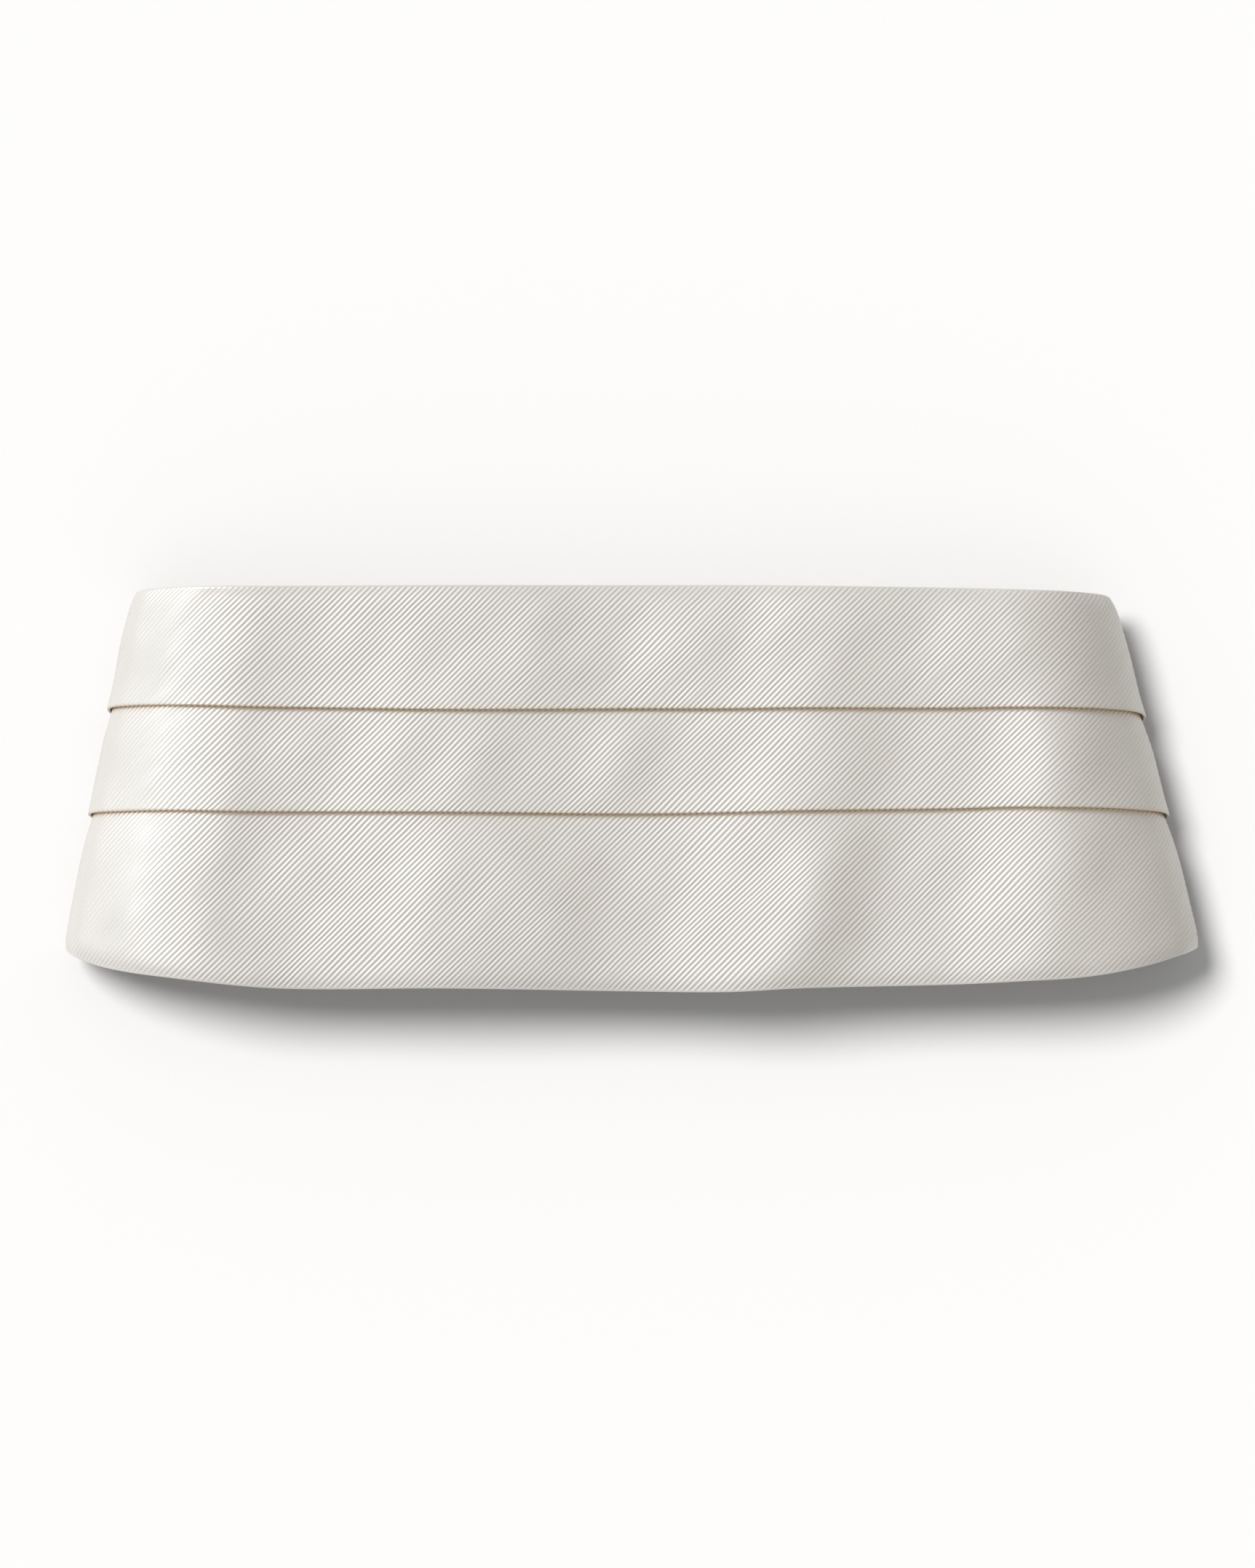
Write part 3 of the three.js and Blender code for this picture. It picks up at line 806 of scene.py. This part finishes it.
@dataclass
class PleatBand:
    """One band of ribbed silk, folded at its lower edge and tucked under the band above."""

    name: str
    node: str
    high: Edge
    low: Edge
    body: FlatBody
    loop: Loop
    above: Edge | None = None
    puffs: tuple[Puff, ...] = ()
    seed: int = 1
    tuck: float = 9 * MM
    rib_pitch: float = 1.34 * MM
    rib_depth: float = 0.26 * MM
    rib_samples: int = 6
    rib_lean: float = 2 / 3
    rib_sharpness: float = 1.3
    weakest_rib: float = 0.4
    strongest_rib: float = 1.35
    long_run: float = 7 * MM
    short_run: float = 2.3 * MM
    soft_waves: int = 9
    search_rounds: int = 6
    uneven: float = 0.03
    patchy: float = 0.12
    patch_reach: float = 11 * MM
    drawn_fade: float = 0.45
    ripple: float = 0.15 * MM
    ripple_reach: float = 26 * MM
    back_ribs: float = 0.3
    crown_soft: float = 2.0
    crown_pressed: float = 8.0
    lip_lift: float = 0.3 * MM
    lip_reach: float = 8 * MM
    roll_width: float = 6 * MM
    roll_depth: float = 1.1 * MM
    hem: float = 0.8 * MM
    hem_lead: float = 0.3
    fine_step: float = 0.4 * MM
    coarse_step: float = 2.8 * MM
    inner_step: float = 8 * MM
    edge_steps: int = 6
    # How far the painted crease shade reaches under a fold, and the painted shade on the fold's lip.
    crease_shade_reach: float = 1.8 * MM
    lip_shade: float = 0.6
    lip_shade_reach: float = 1.2 * MM

    @property
    def radius(self) -> float:
        """The radius of the rounded edges."""
        return self.loop.silk_wall / 2

    @property
    def pleated(self) -> bool:
        """Whether the lower edge is a fold that stands over another band."""
        return self.low is not Edge.BOTTOM

    def centre_height(self) -> float:
        """The band's height at the centre front."""
        return self.body.centre(self.high) - self.body.centre(self.low)

    def rows(self) -> list[SectionRow]:
        """Lists the rows of vertices round the section, from the lower edge up and back."""
        height = self.centre_height() - self.radius
        outer = graded_shares(height, self.fine_step, self.coarse_step)
        inner = graded_shares(height, self.inner_step, self.inner_step)
        tuck = list(TUCK_SHARES) if self.above else []
        arc = [i / self.edge_steps for i in range(1, self.edge_steps)]
        rows = [SectionRow(Face.OUTER, share) for share in outer]
        rows += [SectionRow(Face.TUCK, share) for share in tuck]
        rows += [SectionRow(Face.HIGH_EDGE, share) for share in arc]
        rows += [SectionRow(Face.INNER_TUCK, share) for share in tuck[::-1]]
        rows += [SectionRow(Face.INNER, share) for share in inner[::-1]]
        rows += [SectionRow(Face.LOW_EDGE, share) for share in arc]
        return rows

    def bounds_at(self, s: np.ndarray) -> tuple[np.ndarray, np.ndarray, np.ndarray]:
        """Gives the lower edge, the upper line and the hidden upper edge at places along."""
        low = self.body.edges[self.low](s)
        line = self.body.edges[self.high](s)
        if self.above is None:
            return low, line, line
        reach = self.body.edges[self.above](s) - line
        full = self.body.centre(self.above) - self.body.centre(self.high)
        return low, line, line + self.tuck * reach / full

    def crown(self, share: np.ndarray, s: np.ndarray) -> np.ndarray:
        """Gives the outer face's height over the next band's, from the crease to the fold."""
        power = self.crown_soft + (self.crown_pressed - self.crown_soft) * self.loop.pressed(s)
        rest = 1 - np.clip(share, 0, 1)
        return self.loop.fold_height(s) * (1 - rest**power)

    def puff(self, s: np.ndarray, t: np.ndarray, share: np.ndarray) -> np.ndarray:
        """Gives the band's own soft rises, which die out at its two edges."""
        middle = self.body.centre(self.high) - self.centre_height() / 2
        lift = np.zeros_like(s)
        for row in self.puffs:
            crest = row.along * self.body.half + (t - middle) * math.tan(math.radians(row.lean))
            off = (s - crest) / (row.width * self.body.half)
            lift += row.rise * MM * np.exp(-off * off)
        chance = np.random.default_rng(self.seed + 200)
        lift += self.ripple * soft_field(chance, s, t, self.ripple_reach, self.soft_waves)
        inside = np.clip(share, 0, 1)
        return lift * (4 * inside * (1 - inside)) * (1 - self.loop.pressed(s))

    def outer_height(self, s: np.ndarray, t: np.ndarray) -> np.ndarray:
        """Gives the height of the outer face at places on the band."""
        low, line, _ = self.bounds_at(s)
        share = (line - t) / (line - low)
        height = self.crown(share, s) + self.puff(s, t, share)
        if self.above is not None:
            top = self.body.edges[self.above](s)
            under = self.crown((top - t) / (top - line), s) - self.loop.fold_height(s)
            height = np.where(t > line, under, height)
        else:
            rest = np.clip(1 - (line - t) / self.roll_width, 0, 1)
            height = height - self.roll_depth * rest**2
        near = np.clip(1 - (t - low) / self.lip_reach, 0, 1)
        if self.pleated:
            lift = self.lip_lift * near * near * (3 - 2 * near)
            height = height + lift * (1 - self.loop.pressed(s))
        else:
            rest = np.clip(1 - (t - low) / self.roll_width, 0, 1)
            height = height - self.roll_depth * rest**2
        return height

    def row_places(
        self, row: SectionRow, s: np.ndarray
    ) -> tuple[np.ndarray, np.ndarray, np.ndarray, float]:
        """Gives where a row of vertices lies.

        Args:
            row: The row.
            s: Its vertices' places along the body.

        Returns:
            The places up the body, the place up whose outer height each one takes, how far
            under that height each one lies, and how strongly the ribs show on it.
        """
        low, line, high = self.bounds_at(s)
        radius = self.radius
        turn = math.pi * row.at
        if row.face in (Face.OUTER, Face.INNER):
            t = low + radius + row.at * (line - low - radius * (1 if self.above else 2))
            if row.face is Face.OUTER:
                return t, t, np.zeros_like(s), 1.0
            return t, t, np.full_like(s, 2 * radius), self.back_ribs
        if row.face in (Face.TUCK, Face.INNER_TUCK):
            t = line + row.at * (high - radius - line)
            inner = row.face is Face.INNER_TUCK
            return t, t, np.full_like(s, 2 * radius if inner else 0.0), 0.0
        if row.face is Face.HIGH_EDGE:
            base = high - radius
            t = base + radius * math.sin(turn)
            return t, base, np.full_like(s, radius * (1 - math.cos(turn))), 0.0
        base = low + radius
        t = base - radius * math.sin(turn)
        weight = self.back_ribs + (1 - self.back_ribs) * row.at
        return t, base, np.full_like(s, radius * (1 + math.cos(turn))), weight

    def wander(self, c: np.ndarray, t: np.ndarray) -> np.ndarray:
        """Gives how far each rib strays along the body, softly and alike for its neighbours."""
        chance = np.random.default_rng(self.seed)
        return sum(row.far * soft_field(chance, c, t, row.reach, row.waves) for row in WANDER)

    def rib_height(self, column: np.ndarray) -> np.ndarray:
        """Gives a rib's height, from 0 in the furrow to 1 on the ridge, leaning to one side."""
        across = column / self.rib_samples % 1
        rise = np.sin(math.pi / 2 * across / self.rib_lean)
        fall = np.sin(math.pi / 2 * (1 - across) / (1 - self.rib_lean))
        return np.where(across < self.rib_lean, rise, fall) ** self.rib_sharpness

    def rib_strength(self, column: np.ndarray, c: np.ndarray, t: np.ndarray) -> np.ndarray:
        """Gives how strong each rib is: uneven from rib to rib, along it and in soft patches."""
        chance = np.random.default_rng(self.seed + 100)
        ribs = (column // self.rib_samples).astype(int)
        own = chance.normal(1.0, self.uneven, ribs.max() + 1)
        start = chance.uniform(0, math.tau, (2, ribs.max() + 1))
        run = np.sin(t / self.long_run + start[0][ribs])
        run += np.sin(t / self.short_run + start[1][ribs])
        patch = soft_field(chance, c, t, self.patch_reach, self.soft_waves)
        strength = own[ribs] + self.uneven * run + self.patchy * patch
        return np.clip(strength, self.weakest_rib, self.strongest_rib)

    def flat_mesh(self) -> bpy.types.Mesh:
        """Builds the band laid out flat, its ribs leaning as they are woven."""
        rows = self.rows()
        step = self.rib_pitch * math.sqrt(2) / self.rib_samples
        reach = self.body.half + self.body.height
        columns = int(2 * reach / step)
        column = np.arange(columns + 1, dtype=float)
        c = -reach + column * step
        ridge = self.rib_height(column)
        band = np.zeros((len(rows) + 1, columns + 1, 4))
        for j, row in enumerate(rows):
            s = c.copy()
            for _ in range(self.search_rounds):
                t, base, under, weight = self.row_places(row, s)
                s = c + t + self.wander(c, t)
            t, base, under, weight = self.row_places(row, s)
            n = self.outer_height(s, base) - under
            fade = self.rib_fade(s, t)
            fade = fade * (1 - self.drawn_fade * self.loop.drawn(s))
            strength = weight * fade * self.rib_strength(column, c, t)
            n -= self.rib_depth * strength * (1 - ridge)
            if row.face is Face.LOW_EDGE:
                t = t + self.rib_depth * strength * (1 - ridge) * math.sin(math.pi * row.at)
            band[j] = np.stack([s, t, n, 1 - strength * (1 - ridge)], axis=-1)
        band[-1] = band[0]
        return self.cut_ends(band)

    def rib_fade(self, s: np.ndarray, t: np.ndarray) -> np.ndarray:
        """Gives how far the ribs sink into the smooth hems at the top and the bottom."""
        low, line, _ = self.bounds_at(s)
        fade = np.ones_like(s)
        if not self.pleated:
            fade = smoothstep(0.0, self.hem, t - low - self.radius + self.hem_lead * self.hem)
        if self.above is None:
            fade = fade * smoothstep(0.0, self.hem, line - t - self.radius + self.hem_lead * self.hem)
        return fade

    def cut_ends(self, band: np.ndarray) -> bpy.types.Mesh:
        """Bends a grid into the band's closed section and cuts its two ends square.

        Args:
            band: For each row and column of the grid, s, t, n and the rib mask.

        Returns:
            The band's mesh, laid out flat.
        """
        rows, columns = band.shape[0] - 1, band.shape[1] - 1
        bm = bmesh.new()
        bmesh.ops.create_grid(bm, x_segments=columns, y_segments=rows, size=0.5)
        rib = bm.verts.layers.float.new("rib")
        for vert in bm.verts:
            i = round((vert.co.x + 0.5) * columns)
            j = round((vert.co.y + 0.5) * rows)
            s, t, n, mask = band[j, i]
            vert.co = (s, t, n)
            vert[rib] = mask
        bmesh.ops.remove_doubles(bm, verts=bm.verts, dist=0.001 * MM)
        for side in (-1, 1):
            bmesh.ops.bisect_plane(
                bm,
                geom=bm.verts[:] + bm.edges[:] + bm.faces[:],
                plane_co=(side * self.body.half, 0, 0),
                plane_no=(side, 0, 0),
                clear_outer=True,
            )
        ends = [edge for edge in bm.edges if edge.is_boundary]
        caps = bmesh.ops.holes_fill(bm, edges=ends, sides=0)["faces"]
        bmesh.ops.triangulate(bm, faces=caps)
        bmesh.ops.recalc_face_normals(bm, faces=bm.faces)
        for face in bm.faces:
            face.smooth = True
        return finish_mesh(bm, self.name)

    def crease_shade_mask(self, s: np.ndarray, t: np.ndarray, n: np.ndarray) -> np.ndarray:
        """Gives the painted warm shade of the outer face: in the crease under a fold, and on its lip."""
        low, line, _ = self.bounds_at(s)
        shade = np.zeros_like(s)
        if self.above is not None:
            shade = 1 - smoothstep(0.0, self.crease_shade_reach, line - t)
        if self.pleated:
            lip = self.lip_shade * (1 - smoothstep(0.0, self.lip_shade_reach, t - low))
            shade = np.maximum(shade, lip)
        return np.where(n > self.outer_height(s, t) - self.radius, shade, 0.0)

    def build(self, material: bpy.types.Material) -> bpy.types.Object:
        mesh = self.flat_mesh()
        flat = places(mesh)
        s, t, n = flat.T
        map_cloth(mesh, flat)
        # Stores the painted warm shade under the folds and on their lips, as a mask.
        set_mask(mesh, "painted_crease_shade", self.crease_shade_mask(s, t, n))
        points = self.loop.place(s, t, n + self.body.swell(s, t))
        mesh.vertices.foreach_set("co", points.astype(np.float32).ravel())
        mesh.update()
        piece = add_piece(mesh, material, [self.node])
        along = np.linspace(-self.body.half, self.body.half, 601)
        low, _, high = self.bounds_at(along)
        return piece


@dataclass
class BackStrap:
    """Half of the back strap, from its seam on the wing round the clasp's rim."""

    name: str
    node: str
    side: int
    wing_end: float
    clasp_at: float
    loop: Loop
    width: float = 25 * MM
    wall: float = 1.6 * MM
    line: float = -24 * MM
    seam: float = 14 * MM
    drop: float = 16 * MM
    fold_back: float = 13 * MM
    clasp_length: float = 36 * MM
    clasp_wall: float = 2.4 * MM
    clasp_rim: float = 3.4 * MM
    soften: float = 2.5 * MM
    easing: float = 0.35 * MM
    step: float = 0.8 * MM
    across: int = 12

    def path(self) -> np.ndarray:
        """Gives the strap's middle line, out from the clasp's middle and up."""
        clearance = self.loop.clearance
        floor = -self.loop.fold_step
        inside = self.loop.silk_wall + clearance + self.wall / 2
        rest = floor + self.wall / 2
        turn = (self.clasp_wall + self.wall) / 2 + clearance
        reach = abs(self.wing_end - self.clasp_at)
        rim = self.clasp_length / 2 - self.clasp_rim
        lie = rest + self.wall + clearance
        out = self.clasp_length / 2 + clearance
        angles = np.linspace(-math.pi / 2, -1.5 * math.pi, 13)
        points = [
            (reach + self.seam, inside),
            (reach - self.wall, inside),
            (reach - self.drop, rest),
            (out, rest),
            *[(rim + turn * math.cos(a), rest + turn * (1 + math.sin(a))) for a in angles],
            (out, rest + 2 * turn),
            (out + self.fold_back / 2, lie),
            (out + self.fold_back, lie),
        ]
        return np.array(points)

    def smooth_path(self) -> np.ndarray:
        """Samples the middle line evenly and softens its corners."""
        corners = self.path()
        run = np.concatenate([[0], np.cumsum(np.hypot(*np.diff(corners, axis=0).T))])
        count = int(run[-1] / self.step)
        at = np.linspace(0, run[-1], count + 1)
        line = np.stack([np.interp(at, run, corners[:, k]) for k in (0, 1)], axis=-1)
        rounds = round(self.soften / self.step)
        for _ in range(rounds):
            line[1:-1] = (line[:-2] + 2 * line[1:-1] + line[2:]) / 4
        return line

    def build(self, material: bpy.types.Material) -> bpy.types.Object:
        line = self.smooth_path()
        count = len(line) - 1
        run = np.concatenate([[0], np.cumsum(np.hypot(*np.diff(line, axis=0).T))])
        bm = bmesh.new()
        bmesh.ops.create_grid(bm, x_segments=count, y_segments=self.across, size=0.5)
        flat = np.zeros((len(bm.verts), 3))
        bm.verts.index_update()
        for vert in bm.verts:
            i = round((vert.co.x + 0.5) * count)
            across = vert.co.y * self.width
            flat[vert.index] = (run[i], across, 0)
            out, up = line[i]
            vert.co = (self.clasp_at + self.side * out, self.line + across, up + self.loop.shift[2])
        bmesh.ops.recalc_face_normals(bm, faces=bm.faces)
        for face in bm.faces:
            face.smooth = True
        mesh = finish_mesh(bm, self.name)
        map_cloth(mesh, flat)
        piece = add_piece(mesh, material, [self.node])
        thick = piece.modifiers.new("wall", "SOLIDIFY")
        thick.thickness = self.wall
        thick.offset = 0
        soft = piece.modifiers.new("soft_edges", "BEVEL")
        soft.width = self.easing
        soft.segments = 2
        soft.limit_method = "ANGLE"
        return piece


@dataclass
class ClaspPlate:
    """The plain clasp, with its edges eased."""

    name: str = "clasp_plate"
    node: str = "clasp"
    easing: float = 0.5 * MM
    corner: float = 20.0
    merge: float = 0.01 * MM
    flat_degrees: float = 1.0

    def build(self, material: bpy.types.Material) -> bpy.types.Object:
        """Takes the frame's clasp and eases its sharp edges."""
        bm = bmesh.new()
        bm.from_mesh(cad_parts[self.node].data)
        bmesh.ops.remove_doubles(bm, verts=bm.verts, dist=self.merge)
        flat = math.radians(self.flat_degrees)
        bmesh.ops.dissolve_limit(bm, angle_limit=flat, verts=bm.verts, edges=bm.edges)
        sharp = [e for e in bm.edges if e.calc_face_angle(0) > math.radians(self.corner)]
        bmesh.ops.bevel(
            bm,
            geom=sharp,
            offset=self.easing,
            segments=3,
            profile=0.5,
            affect="EDGES",
            material=-1,
            clamp_overlap=True,
        )
        bmesh.ops.recalc_face_normals(bm, faces=bm.faces)
        return add_piece(finish_mesh(bm, self.name), material, [self.node])


@dataclass(frozen=True)
class SoftLight:
    """A wide soft light from far away, kept for some of the scene's objects."""

    name: str
    towards: tuple[float, float, float]
    strength: float
    width_degrees: float
    colour: tuple[float, float, float] = (1.0, 1.0, 1.0)

    def build(self, lit: Sequence[bpy.types.Object]) -> None:
        """Hangs the light so that it reaches only the given objects."""
        light = bpy.data.lights.new(self.name, "SUN")
        light.energy = self.strength
        light.angle = math.radians(self.width_degrees)
        light.color = self.colour
        lamp = bpy.data.objects.new(self.name, light)
        lamp.rotation_mode = "QUATERNION"
        lamp.rotation_quaternion = Vector(self.towards).to_track_quat("Z", "Y")
        lamp.location = Vector(self.towards)
        bpy.context.scene.collection.objects.link(lamp)
        group = bpy.data.collections.new(f"{self.name}_lights")
        for thing in lit:
            group.objects.link(thing)
        lamp.light_linking.receiver_collection = group


@dataclass
class Studio:
    """The pale floor, the soft light from the upper left, and the camera straight above."""

    floor_size: float = 6.0
    floor_colour: tuple[float, float, float] = (0.95, 0.947, 0.94)
    floor_held_back: float = 0.5
    sky_colour: tuple[float, float, float] = (1.0, 1.0, 1.0)
    sky: float = 0.33
    window: SoftLight = SoftLight("window", (-0.68, 0.48, 0.56), 1.63, 22, (1.0, 1.02, 1.07))
    side: SoftLight = SoftLight("side", (-1.0, 0.1, 0.75), 0.45, 30, (0.98, 1.02, 1.16))
    fill: SoftLight = SoftLight("fill", (0.0, 0.0, 1.0), 0.56, 150, (1.0, 0.965, 0.91))
    overhead: SoftLight = SoftLight("overhead", (-0.42, 0.38, 1.0), 2.58, 22, (1.0, 0.995, 0.985))
    photo_scale: float = 4285.0
    photo_size: tuple[float, float] = (1725.0, 2156.0)
    photo_centre: tuple[float, float] = (868.5, 1084.0)
    lens: float = 200.0
    sensor: float = 36.0
    sharp_height: float = 28 * MM

    def build(self, pieces: Sequence[bpy.types.Object]) -> None:
        """Builds the floor, the lights and the camera round the object's pieces."""
        floor = self.add_floor()
        self.add_sky()
        for light in (self.window, self.side, self.fill):
            light.build(pieces)
        self.overhead.build([floor])
        self.add_camera()

    def add_floor(self) -> bpy.types.Object:
        """Lays the floor."""
        bm = bmesh.new()
        bmesh.ops.create_grid(bm, x_segments=4, y_segments=4, size=self.floor_size / 2)
        mesh = finish_mesh(bm, "floor")
        material, tree, shader = new_material("pale_floor")
        dimmed = hold_back(tree, self.floor_colour, self.floor_held_back)
        tree.links.new(dimmed, shader.inputs["Base Color"])
        shader.inputs["Roughness"].default_value = 0.9
        shader.inputs["Specular IOR Level"].default_value = 0.1
        mesh.materials.append(material)
        floor = bpy.data.objects.new("floor", mesh)
        bpy.context.scene.collection.objects.link(floor)
        return floor

    def add_sky(self) -> None:
        """Sets the even sky."""
        scene = bpy.context.scene
        scene.view_settings.view_transform = "Standard"
        world = bpy.data.worlds.new("sky")
        scene.world = world
        world.use_nodes = True
        background = world.node_tree.nodes["Background"]
        background.inputs["Color"].default_value = (*self.sky_colour, 1)
        background.inputs["Strength"].default_value = self.sky

    def add_camera(self) -> None:
        """Hangs the camera over the photo's middle, looking straight down."""
        camera = bpy.data.cameras.new("camera")
        camera.lens = self.lens
        camera.sensor_width = self.sensor
        seen = max(self.photo_size) / self.photo_scale
        distance = seen / self.sensor * self.lens
        x = (self.photo_size[0] / 2 - self.photo_centre[0]) / self.photo_scale
        y = (self.photo_centre[1] - self.photo_size[1] / 2) / self.photo_scale
        rig = bpy.data.objects.new("camera", camera)
        rig.location = (x, y, self.sharp_height + distance)
        bpy.context.scene.collection.objects.link(rig)
        bpy.context.scene.camera = rig


def main() -> None:
    """Builds the cummerbund's pieces in order, then the studio round them."""
    logging.basicConfig(level=logging.INFO, format="%(name)s: %(message)s")
    body = FlatBody()
    loop = Loop(body)
    loop.settle("lower_panel", (Edge.LOWER, Edge.BOTTOM))
    threads = ThreadGroup()
    silk = SilkFinish(threads).material()
    webbing = WebbingFinish(threads).material()
    nickel = NickelFinish().material()
    bands = (
        ("upper_pleat", Edge.TOP, Edge.UPPER, None, UPPER_PUFFS, 3),
        ("middle_pleat", Edge.UPPER, Edge.LOWER, Edge.TOP, MIDDLE_PUFFS, 5),
        ("lower_panel", Edge.LOWER, Edge.BOTTOM, Edge.UPPER, LOWER_PUFFS, 8),
    )
    pieces = []
    for node, line, fold, above, puffs, seed in bands:
        band = PleatBand(f"{node}_silk", node, line, fold, body, loop, above, puffs, seed)
        pieces.append(band.build(silk))
    middle = np.zeros(1)
    ends = [float(loop.place(middle + side * body.half, middle, middle)[0, 0]) for side in (-1, 1)]
    clasp_at = sum(ends) / 2
    for name, node, side, end in (
        ("left_strap_webbing", "left_strap", -1, ends[0]),
        ("right_strap_webbing", "right_strap", 1, ends[1]),
    ):
        pieces.append(BackStrap(name, node, side, end, clasp_at, loop).build(webbing))
    pieces.append(ClaspPlate().build(nickel))
    for piece in pieces:
        log.info("%s: %d faces", piece.name, len(piece.data.polygons))
    Studio().build(pieces)


if __name__ == "__main__":
    main()
